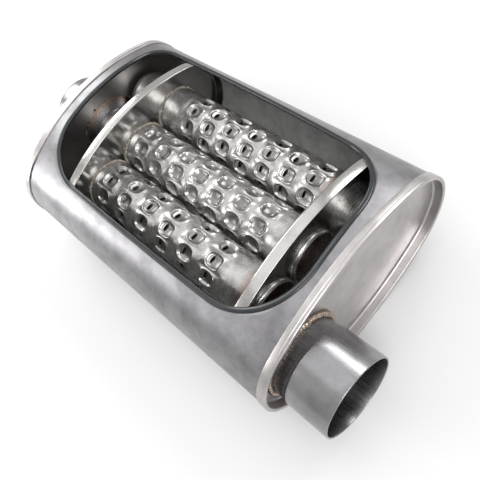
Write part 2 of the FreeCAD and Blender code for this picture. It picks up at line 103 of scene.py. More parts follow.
def add(tree: NodeTree, kind: str, inputs: Optional[dict] = None, **settings: str) -> Node:
    """Add one node.

    Args:
        tree: Node tree that takes it.
        kind: Blender's name for its type.
        inputs: What feeds it, as in feed().
        settings: Its own attributes.

    Returns:
        The new node.
    """
    node = tree.nodes.new(kind)
    for key, value in settings.items():
        setattr(node, key, value)
    feed(tree, node, inputs or {})
    return node


def blank(name: str) -> tuple[Material, NodeTree]:
    """Make a material with a Principled shader.

    Args:
        name: Its name.

    Returns:
        The material and its node tree.
    """
    material = bpy.data.materials.new(name)
    material.use_nodes = True
    return material, material.node_tree


def node_group(name: str, sockets: dict[str, str]) -> tuple[NodeTree, dict[str, NodeSocket]]:
    """Start a Geometry Nodes tree that takes a mesh and named sizes.

    Args:
        name: Name of the tree.
        sockets: Kinds of the sizes, Float or Int, by name.

    Returns:
        The tree, and its input sockets by name.
    """
    group = bpy.data.node_groups.new(name, "GeometryNodeTree")
    for side in ("INPUT", "OUTPUT"):
        group.interface.new_socket("Geometry", in_out=side, socket_type="NodeSocketGeometry")
    for label, kind in sockets.items():
        group.interface.new_socket(label, in_out="INPUT", socket_type="NodeSocket" + kind)
    return group, dict(add(group, "NodeGroupInput").outputs.items())


def grown(thing: Object, group: NodeTree, values: dict[str, float]) -> Object:
    """Run a Geometry Nodes tree on an object and keep the result as a plain mesh.

    Args:
        thing: Object that the tree takes.
        group: The tree.
        values: Its sizes by name.

    Returns:
        The same object.
    """
    nodes = thing.modifiers.new(group.name, "NODES")
    nodes.node_group = group
    for item in group.interface.items_tree:
        if item.in_out == "INPUT" and item.name in values:
            nodes[item.identifier] = values[item.name]
    return baked(thing)


def placed(name: str, data: ID) -> Object:
    """Add an object to the scene.

    Args:
        name: Its name.
        data: Its mesh, lamp or camera.

    Returns:
        The object.
    """
    thing = bpy.data.objects.new(name, data)
    bpy.context.scene.collection.objects.link(thing)
    return thing


def new_object(name: str, points: Sequence[Point], faces: Sequence[Sequence[int]],
               material: Material, sharp: float = 32.0) -> Object:
    """Make a smooth mesh object from points in millimetres.

    Args:
        name: Name of the piece.
        points: Vertices in millimetres.
        faces: Vertex numbers of each face.
        material: Its finish.
        sharp: Degrees of bend beyond which edges stay sharp.

    Returns:
        The object.
    """
    mesh = bpy.data.meshes.new(name)
    mesh.from_pydata([(x * MM, y * MM, z * MM) for x, y, z in points], [], faces)
    return dress(name, mesh, material, sharp)


def dress(name: str, mesh: Mesh, material: Material, sharp: float = 32.0) -> Object:
    """Merge doubles, point the faces outwards, shade smoothly and give the mesh its finish.

    Args:
        name: Name of the piece.
        mesh: Its mesh in metres.
        material: Its finish.
        sharp: Degrees of bend beyond which edges stay sharp.

    Returns:
        The object.
    """
    work = bmesh.new()
    work.from_mesh(mesh)
    bmesh.ops.remove_doubles(work, verts=work.verts, dist=MERGE)
    bmesh.ops.recalc_face_normals(work, faces=work.faces)
    work.to_mesh(mesh)
    work.free()
    mesh.shade_smooth()
    mesh.set_sharp_from_angle(angle=math.radians(sharp))
    mesh.materials.clear()
    mesh.materials.append(material)
    return placed(name, mesh)


def solid(thing: Object, thickness: float, inside: Optional[Material] = None) -> Object:
    """Give a sheet its wall, inwards from the faces, as a plain mesh.

    Args:
        thing: Sheet object with outward normals.
        thickness: Wall in millimetres.
        inside: Finish of the inner faces, if another.

    Returns:
        The same object.
    """
    wall = thing.modifiers.new("wall", "SOLIDIFY")
    wall.thickness = thickness * MM
    wall.offset = -1
    wall.use_even_offset = True
    if inside:
        thing.data.materials.append(inside)
        wall.material_offset = 1
    return baked(thing)


def baked(thing: Object) -> Object:
    """Apply an object's modifiers to its mesh.

    Args:
        thing: Object with modifiers.

    Returns:
        The same object.
    """
    graph = bpy.context.evaluated_depsgraph_get()
    mesh = bpy.data.meshes.new_from_object(thing.evaluated_get(graph), depsgraph=graph)
    thing.modifiers.clear()
    thing.data = mesh
    return thing


def finish(thing: Object, node: str) -> Object:
    """Let a piece ride on the part and stand for a CAD node, and report it.

    Args:
        thing: The piece.
        node: The CAD node that it stands for.

    Returns:
        The same piece.
    """
    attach(thing, "root")
    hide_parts(node)
    log.info("%s: %d faces, stands for %s", thing.name, len(thing.data.polygons), node)
    return thing


def rows_of_faces(rows: int, across: int, closed: bool = False) -> list[tuple[int, ...]]:
    """Quads between rows of points that each close on themselves.

    Args:
        rows: Number of rows.
        across: Points in a row.
        closed: Whether the last row joins the first.

    Returns:
        Vertex numbers of the faces.
    """
    faces = []
    for row in range(rows if closed else rows - 1):
        low, high = row * across, (row + 1) % rows * across
        for n in range(across):
            m = (n + 1) % across
            faces.append((low + n, low + m, high + m, high + n))
    return faces


def walk(corners: Sequence[Plan], counts: Sequence[int]) -> list[Plan]:
    """Evenly spaced points round a closed outline of straight sides.

    Args:
        corners: The outline's corners.
        counts: Points on the side that starts at each corner.

    Returns:
        The points, from the first corner on.
    """
    points = []
    for n, count in enumerate(counts):
        (a, b), (c, d) = corners[n], corners[(n + 1) % len(corners)]
        points.extend((a + (c - a) * step / count, b + (d - b) * step / count) for step in range(count))
    return points


def smooth_step(share: float) -> float:
    """Ease a share from 0 to 1 in and out."""
    return share * share * (3 - 2 * share)


def arc(middle: Plan, radius: float, start: float, end: float, steps: int) -> list[Plan]:
    """Points on an arc, angles in degrees."""
    angles = (math.radians(start + (end - start) * n / steps) for n in range(steps + 1))
    return [(middle[0] + radius * math.cos(angle), middle[1] + radius * math.sin(angle)) for angle in angles]


# Forms shared by the pieces


@dataclass(frozen=True)
class Oval:
    """Cross-section of the body: two wide arcs joined by two small ones."""

    width: float = 248.0
    height: float = 134.0
    side: float = 52.0

    @property
    def crown(self) -> float:
        """Radius of the wide arcs."""
        return (self.centre ** 2 + self.height ** 2 / 4 - self.side ** 2) / (self.height - 2 * self.side)

    @property
    def centre(self) -> float:
        """Distance of a small arc's centre from the middle."""
        return self.width / 2 - self.side

    @property
    def drop(self) -> float:
        """Distance of a wide arc's centre below the middle."""
        return self.crown - self.height / 2

    @property
    def turn(self) -> float:
        """Half angle of a small arc."""
        return math.atan2(self.drop, self.centre)

    @property
    def half_crown(self) -> float:
        """Length of half a wide arc."""
        return self.crown * (math.pi / 2 - self.turn)

    @property
    def half_round(self) -> float:
        """Half the way round the oval."""
        return 2 * self.half_crown + 2 * self.turn * self.side

    def at(self, way: float, grow: float = 0.0) -> tuple[float, float, float, float]:
        """Point and outward normal at a distance round the oval.

        Args:
            way: Distance from the crown's middle, positive towards +Y.
            grow: Offset outwards.

        Returns:
            Y, Z, and the normal's Y and Z.
        """
        if way > self.half_round:
            way -= 2 * self.half_round
        sign = math.copysign(1.0, way)
        way = abs(way)
        if way <= self.half_crown:
            angle, radius, y, z = math.pi / 2 - way / self.crown, self.crown, 0.0, -self.drop
        elif way <= self.half_round - self.half_crown:
            angle, radius, y, z = self.turn - (way - self.half_crown) / self.side, self.side, self.centre, 0.0
        else:
            angle = (self.half_round - way) / self.crown - math.pi / 2
            radius, y, z = self.crown, 0.0, self.drop
        y += (radius + grow) * math.cos(angle)
        z += (radius + grow) * math.sin(angle) + AXIS
        return sign * y, z, sign * math.cos(angle), math.sin(angle)

    def way_to(self, y: float) -> float:
        """Distance round the upper half to the point above a given Y.

        Args:
            y: The point's Y.

        Returns:
            Distance from the crown's middle, positive towards +Y.
        """
        sign = math.copysign(1.0, y)
        y = abs(y)
        if y <= self.crown * math.cos(self.turn):
            return sign * self.crown * (math.pi / 2 - math.acos(y / self.crown))
        angle = math.acos(min(1.0, (y - self.centre) / self.side))
        return sign * (self.half_crown + self.side * (self.turn - angle))

    def on(self, plan: Vector) -> tuple[Vector, Vector]:
        """Point of the crown above a place in plan, and its normal."""
        y, z, ny, nz = self.at(self.way_to(plan.y))
        return Vector((plan.x, y, z)), Vector((0.0, ny, nz))

    def loop(self, grow: float, count: int) -> list[Plan]:
        """Y and Z of evenly spaced points round the whole oval."""
        return [self.at(2 * self.half_round * n / count, grow)[:2] for n in range(count)]


@dataclass(frozen=True)
class Window:
    """Outline of the window in plan: four bowed sides with rounded corners."""

    rear: float = 162.0
    front_near: float = 171.0
    front_far: float = 161.0
    near: float = 85.5
    far_rear: float = 103.0
    far_front: float = 96.0
    bows: tuple[float, ...] = (6000.0, 1500.0, 2600.0, 1400.0)
    rounds: tuple[float, ...] = (58.0, 68.0, 62.0, 26.0)
    side_steps: int = 60
    round_steps: int = 24

    def sides(self) -> list[list[Vector]]:
        """Follow the outline from the middle of each rounded corner to the middle of the next.

        Returns:
            Four chains of fine points.
        """
        corners = [Vector(p) for p in ((-self.rear, -self.near), (self.front_near, -self.near),
                                       (self.front_far, self.far_front), (-self.rear, self.far_rear))]
        centres = []
        for n, bow in enumerate(self.bows):
            start, end = corners[n], corners[(n + 1) % 4]
            chord = end - start
            inward = Vector((-chord.y, chord.x)).normalized()
            centres.append((start + end) / 2 + inward * math.sqrt(bow ** 2 - chord.length ** 2 / 4))
        rounds = []
        for n, radius in enumerate(self.rounds):
            one, other = centres[n - 1], centres[n]
            a, b = self.bows[n - 1] - radius, self.bows[n] - radius
            gap = other - one
            along = (a * a - b * b + gap.length_squared) / (2 * gap.length)
            up = math.sqrt(max(0.0, a * a - along * along))
            foot = one + gap.normalized() * along
            across = Vector((-gap.y, gap.x)).normalized() * up
            middle = min((foot + across, foot - across), key=lambda p: (p - corners[n]).length)
            touch = [c + (middle - c).normalized() * bow
                     for c, bow in ((one, self.bows[n - 1]), (other, self.bows[n]))]
            rounds.append((middle, radius, *touch))
        chains = []
        for n, corner in enumerate(rounds):
            following = rounds[(n + 1) % 4]
            side = self._bent(centres[n], self.bows[n], corner[3], following[2], self.side_steps)
            chains.append(self._round(corner, True) + side[1:-1] + self._round(following, False))
        return chains

    def _round(self, corner: tuple, leaving: bool) -> list[Vector]:
        """Follow half of a rounded corner.

        Args:
            corner: Its centre and radius, and the points where it starts and ends.
            leaving: Whether it is the second half.

        Returns:
            Fine points.
        """
        middle, radius, start, end = corner
        crest = middle + (start + end - middle * 2).normalized() * radius
        return self._bent(middle, radius, *((crest, end) if leaving else (start, crest)), self.round_steps)

    @staticmethod
    def _bent(centre: Vector, radius: float, start: Vector, end: Vector, steps: int) -> list[Vector]:
        """Points on an arc round a centre, from start to end."""
        return [centre + (start.lerp(end, step / steps) - centre).normalized() * radius
                for step in range(steps + 1)]

    @staticmethod
    def spaced(chain: list[Vector], count: int) -> list[Vector]:
        """Space points evenly along a chain, its end left out.

        Args:
            chain: Fine points.
            count: Number of points.

        Returns:
            The points.
        """
        lengths = [0.0, *accumulate((b - a).length for a, b in zip(chain, chain[1:]))]
        points, place = [], 0
        for n in range(count):
            want = lengths[-1] * n / count
            while lengths[place + 1] < want:
                place += 1
            span = lengths[place + 1] - lengths[place]
            share = (want - lengths[place]) / span if span else 0.0
            points.append(chain[place].lerp(chain[place + 1], share))
        return points


def swept(oval: Oval, section: Sequence[Plan], count: int) -> Rows:
    """Rows of points that carry a section, given as offsets and X, round the oval."""
    return [[(x, y, z) for y, z in oval.loop(grow, count)] for grow, x in section]


def towards_hole(oval: Oval, grow: float, x: float, hole: Plan, steps: int, count: int) -> Rows:
    """Flat rows from an oval in to a round hole.

    Args:
        oval: Section of the body.
        grow: Offset of the outermost row.
        x: Plane of the rows.
        hole: Y of the hole's middle, and its radius.
        steps: Number of rows after the outermost, which is left out.
        count: Points in a row.

    Returns:
        The rows' points.
    """
    rows = []
    for step in range(1, steps + 1):
        share = step / steps
        rows.append([])
        for y, z in oval.loop(grow, count):
            angle = math.atan2(z - AXIS, y - hole[0])
            inner = (hole[0] + hole[1] * math.cos(angle), AXIS + hole[1] * math.sin(angle))
            rows[-1].append((x, y + (inner[0] - y) * share, z + (inner[1] - z) * share))
    return rows


def circle(x: float, y: float, radius: float, count: int) -> list[Point]:
    """Points round a pipe or a hole whose axis lies along X."""
    return [(x, y + radius * math.cos(TURN * n / count), AXIS + radius * math.sin(TURN * n / count))
            for n in range(count)]


# Finishes


def worn(tree: NodeTree, metal: float, colour: Source, grain: Source, band: Plan, rough: Plan,
         relief: Plan) -> None:
    """Give a Principled shader its colour, and the roughness and relief that follow one noise.

    Args:
        tree: The material's tree.
        metal: How metallic it is, from 0 to 1.
        colour: The colour.
        grain: The noise.
        band: Values of the noise that give the least and the most roughness.
        rough: The least and the most roughness.
        relief: Strength of the relief, and its depth in metres.
    """
    spread = add(tree, "ShaderNodeMapRange", {0: grain, 1: band[0], 2: band[1], 3: rough[0], 4: rough[1]})
    bump = add(tree, "ShaderNodeBump", {"Strength": relief[0], "Distance": relief[1], "Height": grain})
    feed(tree, tree.nodes[SHADER], {"Metallic": metal, "Base Color": colour, "Normal": bump,
                                    "Roughness": spread})


@dataclass(frozen=True)
class Steel:
    """Stainless steel: grain from brushing, faint stains, brown tint by welds, and painted shade in pressed
    bowls.
    """

    name: str
    colour: str
    dark: str
    roughness: float
    spread: float
    grain: tuple[float, float, float]
    grain_depth: float
    stain_size: float = 30.0
    tint_at: tuple[float, ...] = ()
    tint_reach: float = 14.0
    tint: str = "7a5330"
    # colour of the painted shade in pressed bowls, if any
    sunk: str = ""
    metal: float = 1.0

    def make(self) -> Material:
        """Build the material.

        Returns:
            The material.
        """
        material, tree = blank(self.name)
        place = add(tree, "ShaderNodeTexCoord").outputs["Object"]
        # brushing lines are too fine to show, so they are drawn at the grain's spacing in millimetres
        lines = add(tree, "ShaderNodeMapping", {0: place, "Scale": [1 / (g * MM) for g in self.grain]})
        grain = add(tree, "ShaderNodeTexNoise", {"Vector": lines, "Scale": 1.0, "Detail": 3.0,
                                                 "Roughness": 0.6})
        stains = add(tree, "ShaderNodeTexNoise", {"Vector": place, "Scale": 1 / (self.stain_size * MM),
                                                  "Detail": 5.0, "Roughness": 0.65})
        blend = add(tree, "ShaderNodeMapRange", {0: stains, 1: 0.42, 2: 0.72})
        colour = add(tree, MIX, {0: blend, 6: linear(self.colour), 7: linear(self.dark)},
                     data_type="RGBA").outputs[2]
        if self.tint_at:
            x = add(tree, "ShaderNodeSeparateXYZ", {0: place})
            near = None
            for station in self.tint_at:
                gap = add(tree, MATH, {0: x, 1: station * MM}, operation="SUBTRACT")
                away = add(tree, MATH, {0: gap}, operation="ABSOLUTE")
                near = add(tree, MATH, {0: near, 1: away}, operation="MINIMUM") if near else away
            # the stains' noise makes the tint's edge waver
            reach = self.tint_reach * MM
            waver = add(tree, MATH, {0: stains, 1: reach, 2: -reach / 2}, operation="MULTIPLY_ADD")
            near = add(tree, MATH, {0: near, 1: waver}, operation="ADD")
            heat = add(tree, "ShaderNodeMapRange", {0: near, 1: 0.0, 2: reach, 3: 0.85, 4: 0.0})
            colour = add(tree, MIX, {0: heat, 6: colour, 7: linear(self.tint)}, data_type="RGBA").outputs[2]
        if self.sunk:
            # painted shade: what is pressed in is darkened towards the sunk colour, standing in for the shade
            # in the bowls
            deep = add(tree, "ShaderNodeAttribute", attribute_name="sunk").outputs["Fac"]
            bowl_shade = add(tree, MATH, {0: deep, 1: 0.6}, operation="MULTIPLY")
            colour = add(tree, MIX, {0: bowl_shade, 6: colour, 7: linear(self.sunk)}, data_type="RGBA").outputs[2]
        worn(tree, self.metal, colour, grain, (0.3, 0.7),
             (self.roughness - self.spread, self.roughness + self.spread), (1.0, self.grain_depth * MM))
        return material


@dataclass(frozen=True)
class Strip:
    """Glossy extruded rubber edging."""

    name: str = "extruded rubber edging, polished"
    colour: str = "191b1d"
    pale: str = "2a2d2f"
    roughness: float = 0.14

    def make(self) -> Material:
        """Build the material.

        Returns:
            The material.
        """
        material, tree = blank(self.name)
        place = add(tree, "ShaderNodeTexCoord").outputs["Object"]
        # slight waviness of a soft extrusion, about 9 mm long
        wave = add(tree, "ShaderNodeTexNoise", {"Vector": place, "Scale": 1 / (9 * MM), "Detail": 2.0})
        colour = add(tree, MIX, {0: wave, 6: linear(self.colour), 7: linear(self.pale)},
                     data_type="RGBA").outputs[2]
        worn(tree, 0.0, colour, wave, (0.0, 1.0), (self.roughness - 0.06, self.roughness + 0.1),
             (0.6, 0.08 * MM))
        return material


# Satin brushing lengthways gives a soft grey sheen with fine streaks along the body.
SHELL_STEEL = Steel("stainless sheet, satin brushed", "929193", "737274", 0.37, 0.07, (9.0, 0.4, 0.4),
                    0.006, 26.0)
# The mill finish is duller, and its pale colour is painted light that brightens the inside of the sheet, so
# it looks light and even.
INSIDE_STEEL = Steel("stainless sheet, mill finish and painted light", "cfcfce", "a9a9a8", 0.5, 0.1, (40.0, 1.5, 1.5),
                     0.01, 24.0, metal=0.6)
# Pressing leaves a smooth, fairly bright face with almost no grain.
CAP_STEEL = Steel("stainless sheet, pressed", "bab7b6", "a39f9e", 0.33, 0.05, (3.0, 3.0, 1.2), 0.005)
# Bright pressed sheet mirrors the tubes and the dark chambers.
BAFFLE_STEEL = Steel("stainless sheet, bright pressed", "bcbbb8", "a5a3a0", 0.18, 0.05, (6.0, 1.2, 6.0),
                     0.002)
# Louvred tube is satin, its pressed bowls are darkened with painted shade, and heat leaves a brown tint
# behind the baffle.
TUBE_STEEL = Steel("stainless tube, louvred", "b2b1b0", "858381", 0.29, 0.1, (0.6, 9.0, 9.0), 0.004,
                   12.0, (115.0,), 10.0, "7d5a48", "565452", 0.88)
# Drawing leaves bright streaks along the stub, and its weld tints the steel brown beside it.
PIPE_STEEL = Steel("stainless tube, drawn and sized", "989799", "807f81", 0.28, 0.05, (24.0, 0.9, 0.9),
                   0.0015, 30.0, (-178.0, 178.0), 5.0, "8a6a48")
# Heat turns the ripples straw to brown, with small bright points.
WELD_STEEL = Steel("weld metal, heat tinted", "b4a79a", "705a48", 0.24, 0.1, (0.8, 0.8, 0.8), 0.02, 3.0)
# Welds made with less heat stay a paler grey.
PALE_WELD = Steel("weld metal, bright", "a9a59c", "85766a", 0.33, 0.08, (0.8, 0.8, 0.8), 0.01, 6.0)
# Polished rubber looks near black, with a sharp highlight along its crest.
RUBBER = Strip()


# Sub-assemblies


@dataclass
class Shell:
    """Wrapped oval sheet with the window cut in its crown."""

    oval: Oval
    window: Window
    end: float = 186.8
    border: float = 126.0
    wall: float = 1.5
    along: int = 64
    across: int = 36
    rings: int = 7
    under: int = 72

    def build(self, material: Material, inside: Material) -> Object:
        """Mesh the crown round its window, then the sides and belly, and give the sheet its wall.

        Args:
            material: The sheet's finish outside.
            inside: Its finish inside.

        Returns:
            The finished piece.
        """
        counts = (self.along, self.across) * 2
        inner = [(p.x, self.oval.way_to(p.y)) for side, count in zip(self.window.sides(), counts)
                 for p in self.window.spaced(side, count)]
        outer = walk(((-self.end, -self.border), (self.end, -self.border), (self.end, self.border),
                      (-self.end, self.border)), counts)
        flat = []
        for ring in range(self.rings + 1):
            share = (ring / self.rings) ** 1.2
            flat.extend((a + (c - a) * share, b + (d - b) * share) for (a, b), (c, d) in zip(inner, outer))
        faces = rows_of_faces(self.rings + 1, len(inner))
        start, width = len(flat), self.along + 1
        rest = 2 * self.oval.half_round - 2 * self.border
        for row in range(self.under + 1):
            way = self.border + rest * row / self.under
            flat.extend((self.end - 2 * self.end * n / self.along, way) for n in range(width))
        for row in range(self.under):
            for a in range(start + row * width, start + (row + 1) * width - 1):
                faces.append((a, a + 1, a + 1 + width, a + width))
        points = [(x, *self.oval.at(way)[:2]) for x, way in flat]
        piece = new_object("shell_sheet", points, faces, material)
        return finish(solid(piece, self.wall, inside), "shell")


@dataclass
class WindowTrim:
    """Rubber channel pushed over the cut edge of the window."""

    oval: Oval
    window: Window
    lap: float = 2.4
    bead: float = 2.6
    leg: float = 1.2
    wall: float = 1.5
    count: int = 560

    def section(self) -> list[Plan]:
        """Draw the rounded channel.

        Returns:
            Distances inwards from the cut edge, and heights over the sheet's outer face.
        """
        top = [(-self.lap, -0.1), (-self.lap + 0.1, 0.55), (-self.lap + 0.7, 1.05), (-0.9, self.leg + 0.05),
               (0.3, self.leg - 0.05), (1.2, self.leg - 0.45), (1.75, 0.25), (2.05, 0.2), (2.45, 0.3)]
        low = -self.wall - self.leg
        bottom = [(self.bead, -0.1), (self.bead, -1.2), (self.bead - 0.3, low + 0.5), (1.6, low),
                  (-self.lap + 0.5, low), (-self.lap, low + 0.4), (-self.lap, -self.wall)]
        return top + bottom

    def build(self, material: Material) -> Object:
        """Carry the section round the window on the curved sheet.

        Args:
            material: The edging's finish.

        Returns:
            The finished piece.
        """
        sides = self.window.sides()
        share = [sum((b - a).length for a, b in zip(side, side[1:])) for side in sides]
        loop = [p for side, length in zip(sides, share)
                for p in self.window.spaced(side, round(self.count * length / sum(share)))]
        section, points, total = self.section(), [], len(loop)
        for n in range(total):
            tangent = (loop[(n + 1) % total] - loop[n - 1]).normalized()
            inward = Vector((-tangent.y, tangent.x))
            here, normal = self.oval.on(loop[n])
            ahead = (self.oval.on(loop[n] + inward * 0.5)[0] - here).normalized()
            points.extend(tuple(here + ahead * across + normal * up) for across, up in section)
        faces = rows_of_faces(total, len(section), True)
        return finish(new_object("window_edging", points, faces, material, 50.0), "window_trim")


@dataclass
class EndCap:
    """Dished end plate rolled round the end of the shell."""

    oval: Oval
    end: End
    hole: Plan
    lip: float = 188.0
    plate: float = 178.0
    wall: float = 1.2
    sheet: float = 1.5
    seam: float = 9.0
    bend: float = 2.4
    count: int = 220

    def rim(self) -> list[Plan]:
        """Draw the rolled rim, from the plate's outer face over the lip to the plate's back.

        Returns:
            Offsets from the oval, and X.
        """
        inside = -self.sheet - self.wall
        middle = (inside - self.bend, self.plate + self.bend)
        section = arc(middle, self.bend, -90, 0, 6)
        section += arc((inside + 1.0, self.lip - 1.0), 1.0, 180, 90, 4)
        section += arc((self.wall - 1.1, self.lip - 1.1), 1.1, 90, 0, 4)
        line = self.lip - 3.4
        section += [(self.wall, line + 0.35), (self.wall - 0.22, line), (self.wall, line - 0.35)]
        section += arc((self.wall - 0.6, self.lip - self.seam + 0.6), 0.6, 0, -90, 3)
        section += [(0.02, self.lip - self.seam), (0.02, self.lip - self.wall),
                    (-self.sheet, self.lip - self.wall)]
        return section + arc(middle, self.bend + self.wall, 0, -90, 6)

    def build(self, material: Material) -> Object:
        """Carry the rim round the oval and close the plate in to the pipe's hole.

        Args:
            material: The plate's finish.

        Returns:
            The finished piece.
        """
        inside = -self.sheet - self.wall - self.bend
        rows = towards_hole(self.oval, inside, self.plate, self.hole, 5, self.count)[::-1]
        rows += swept(self.oval, self.rim(), self.count)
        rows += towards_hole(self.oval, inside, self.plate - self.wall, self.hole, 5, self.count)
        points = [(self.end.value * x, y, z) for row in rows for x, y, z in row]
        faces = rows_of_faces(len(rows), self.count, True)
        piece = new_object("end_plate_" + self.end.name.lower(), points, faces, material)
        return finish(piece, self.end.name.lower() + "_end_cap")


@dataclass
class Baffle:
    """Stamped plate that carries the three tubes, with a flange against the shell."""

    oval: Oval
    name: str
    back: float
    holes: tuple[float, ...]
    radius: float = 28.5
    wall: float = 1.4
    flange: float = 12.5
    bend: float = 3.0
    sheet: float = 1.5
    count: int = 200
    hole_steps: int = 96

    def build(self, material: Material) -> Object:
        """Carry the flange round the oval and fill the plate between it and the holes.

        Args:
            material: The plate's finish.

        Returns:
            The finished piece.
        """
        outer = -self.sheet
        middle = (outer - self.bend, self.back + self.bend)
        section = arc(middle, self.bend, -90, 0, 7)
        section += arc((outer - 0.5, self.back + self.flange - 0.5), 0.5, 0, 90, 3)
        section += arc((outer - self.wall + 0.5, self.back + self.flange - 0.5), 0.5, 90, 180, 3)
        section += arc(middle, self.bend - self.wall, 0, -90, 5)
        work = bmesh.new()
        verts = [work.verts.new(p) for row in swept(self.oval, section, self.count) for p in row]
        for face in rows_of_faces(len(section), self.count):
            work.faces.new([verts[n] for n in face])
        rims = []
        for row, x in ((0, self.back), (len(section) - 1, self.back + self.wall)):
            edge = verts[row * self.count:(row + 1) * self.count]
            rings = [[work.verts.new(p) for p in circle(x, y, self.radius, self.hole_steps)]
                     for y in self.holes]
            edges = [work.edges.new((ring[n - 1], ring[n])) for ring in rings for n in range(self.hole_steps)]
            edges += [work.edges.get((edge[n - 1], edge[n])) for n in range(self.count)]
            bmesh.ops.triangle_fill(work, edges=edges, use_beauty=True)
            rims.append(rings)
        for front, rear in zip(rims[0], rims[1]):
            for n in range(self.hole_steps):
                work.faces.new((front[n - 1], front[n], rear[n], rear[n - 1]))
        for vert in work.verts:
            vert.co *= MM
        mesh = bpy.data.meshes.new(self.name)
        work.to_mesh(mesh)
        work.free()
        return finish(dress(self.name + "_plate", mesh, material), self.name)


@dataclass
class Pipe:
    """Round stub through an end plate, its mouth sized up to slip over another pipe.

    The inlet's inner end, or nose, is necked down to slip into the middle tube.
    """

    end: End
    offset: float
    inner_end: float
    radius: float = 38.1
    sized: float = 39.7
    wall: float = 1.6
    mouth: float = 239.5
    sized_length: float = 42.0
    ramp_steps: int = 8
    row_gap: float = 8.0
    taper: float = 6.0
    edge: float = 0.5
    nose: float = 0.0
    reach: float = 18.0
    count: int = 144

    def inner(self) -> tuple[list[Plan], list[Plan]]:
        """Section of the inner end, the wall kept through the cone if it is necked.

        Returns:
            Places along the axis and radii, of the outer face and of the bore.
        """
        bend, bore, narrow = self.inner_end, self.radius - self.wall, self.nose - self.wall
        if not self.nose:
            return [(bend, self.radius)], [(bend, bore)]
        tip = bend - self.reach
        slope = (self.radius - self.nose) / self.taper
        turn = bend + self.wall * (math.sqrt(1 + slope ** 2) - 1) / slope
        return ([(tip, self.nose), (bend - self.taper, self.nose), (bend, self.radius)],
                [(turn, bore), (turn - self.taper, narrow), (tip, narrow)])

    def barrel(self, less: float) -> list[Plan]:
        """Section of the outer face from the step out to the mouth, or of the bore.

        Args:
            less: How much smaller than the outer face.

        Returns:
            Places along the axis, and radii.
        """
        step = self.mouth - self.sized_length
        ramp = [(step - self.taper + self.taper * n / self.ramp_steps,
                 self.radius - less + (self.sized - self.radius) * smooth_step(n / self.ramp_steps))
                for n in range(self.ramp_steps + 1)]
        rows = int(self.sized_length / self.row_gap)
        return ramp + [(step + n * self.row_gap, self.sized - less) for n in range(1, rows)]

    def build(self, material: Material) -> Object:
        """Turn the wall's section round the pipe's axis.

        Args:
            material: The pipe's finish.

        Returns:
            The finished piece.
        """
        section, back = self.inner()
        section += self.barrel(0.0)
        section += arc((self.mouth - self.edge, self.sized - self.edge), self.edge, 90, 0, 3)
        section += arc((self.mouth - self.edge, self.sized - self.wall + self.edge), self.edge, 0, -90, 3)
        section += self.barrel(self.wall)[::-1] + back
        points = [p for x, radius in section
                  for p in circle(self.end.value * x, self.offset, radius, self.count)]
        faces = rows_of_faces(len(section), self.count, True)
        name = self.end.name.lower() + "_pipe"
        return finish(new_object(name + "_stub", points, faces, material, 40.0), name)


@dataclass
class WeldBead:
    """Ring of overlapping weld ripples in the corner round a pipe or tube, laid by Geometry Nodes."""

    name: str
    x: float
    y: float
    radius: float
    size: float
    outward: int
    seed: int
    spacing: float = 2.1
    sunk_in: float = 1.2
    jog: float = 0.35
    least: float = 0.8
    most: float = 1.12

    def ripple(self) -> Object:
        """Make one drop of weld metal of unit size, a few dozen faces.

        Returns:
            Its object.
        """
        mesh = bpy.data.meshes.new("ripple")
        work = bmesh.new()
        bmesh.ops.create_uvsphere(work, u_segments=10, v_segments=6, radius=1.0)
        work.to_mesh(mesh)
        work.free()
        return placed(self.name + "_ripples", mesh)

    def tree(self, material: Material) -> NodeTree:
        """Build the node tree that lays the ripples round a ring of points.

        Args:
            material: The weld's finish.

        Returns:
            The tree.
        """
        group, given = node_group("weld ripples", {"Count": "Int", "Radius": "Float", "Drop Size": "Float",
                                                   "Seed": "Int"})
        ring = add(group, "GeometryNodeMeshCircle", {"Vertices": given["Count"], "Radius": given["Radius"]})
        jog = add(group, "FunctionNodeRandomValue", {"Min": [-self.jog * MM] * 3, "Max": [self.jog * MM] * 3,
                                                     "Seed": given["Seed"]}, data_type="FLOAT_VECTOR")
        vary = add(group, "FunctionNodeRandomValue", {2: self.least, 3: self.most, "Seed": given["Seed"]},
                   data_type="FLOAT")
        moved = add(group, "GeometryNodeSetPosition", {"Geometry": ring, "Offset": jog})
        size = add(group, MATH, {0: vary.outputs[1], 1: given["Drop Size"]}, operation="MULTIPLY")
        laid = add(group, "GeometryNodeInstanceOnPoints", {"Points": moved, "Instance": given["Geometry"],
                                                           "Scale": size})
        real = add(group, "GeometryNodeRealizeInstances", {0: laid})
        smooth = add(group, "GeometryNodeSetShadeSmooth", {0: real})
        done = add(group, "GeometryNodeSetMaterial", {0: smooth, "Material": material})
        add(group, "NodeGroupOutput", {0: done})
        return group

    def build(self, material: Material) -> Object:
        """Lay the ripples and set their ring across the pipe's axis.

        Args:
            material: The weld's finish.

        Returns:
            The finished piece.
        """
        shift = self.size - self.sunk_in
        thing = grown(self.ripple(), self.tree(material), {
            "Count": round(TURN * self.radius / self.spacing), "Radius": (self.radius + shift) * MM,
            "Drop Size": self.size * MM, "Seed": self.seed})
        turn = Matrix.Rotation(math.radians(90), 4, "Y")
        moved = Matrix.Translation(Vector((self.x + self.outward * shift, self.y, AXIS)) * MM)
        thing.data.transform(moved @ turn)
        thing.data.materials.clear()
        thing.data.materials.append(material)
        return finish(thing, self.name)


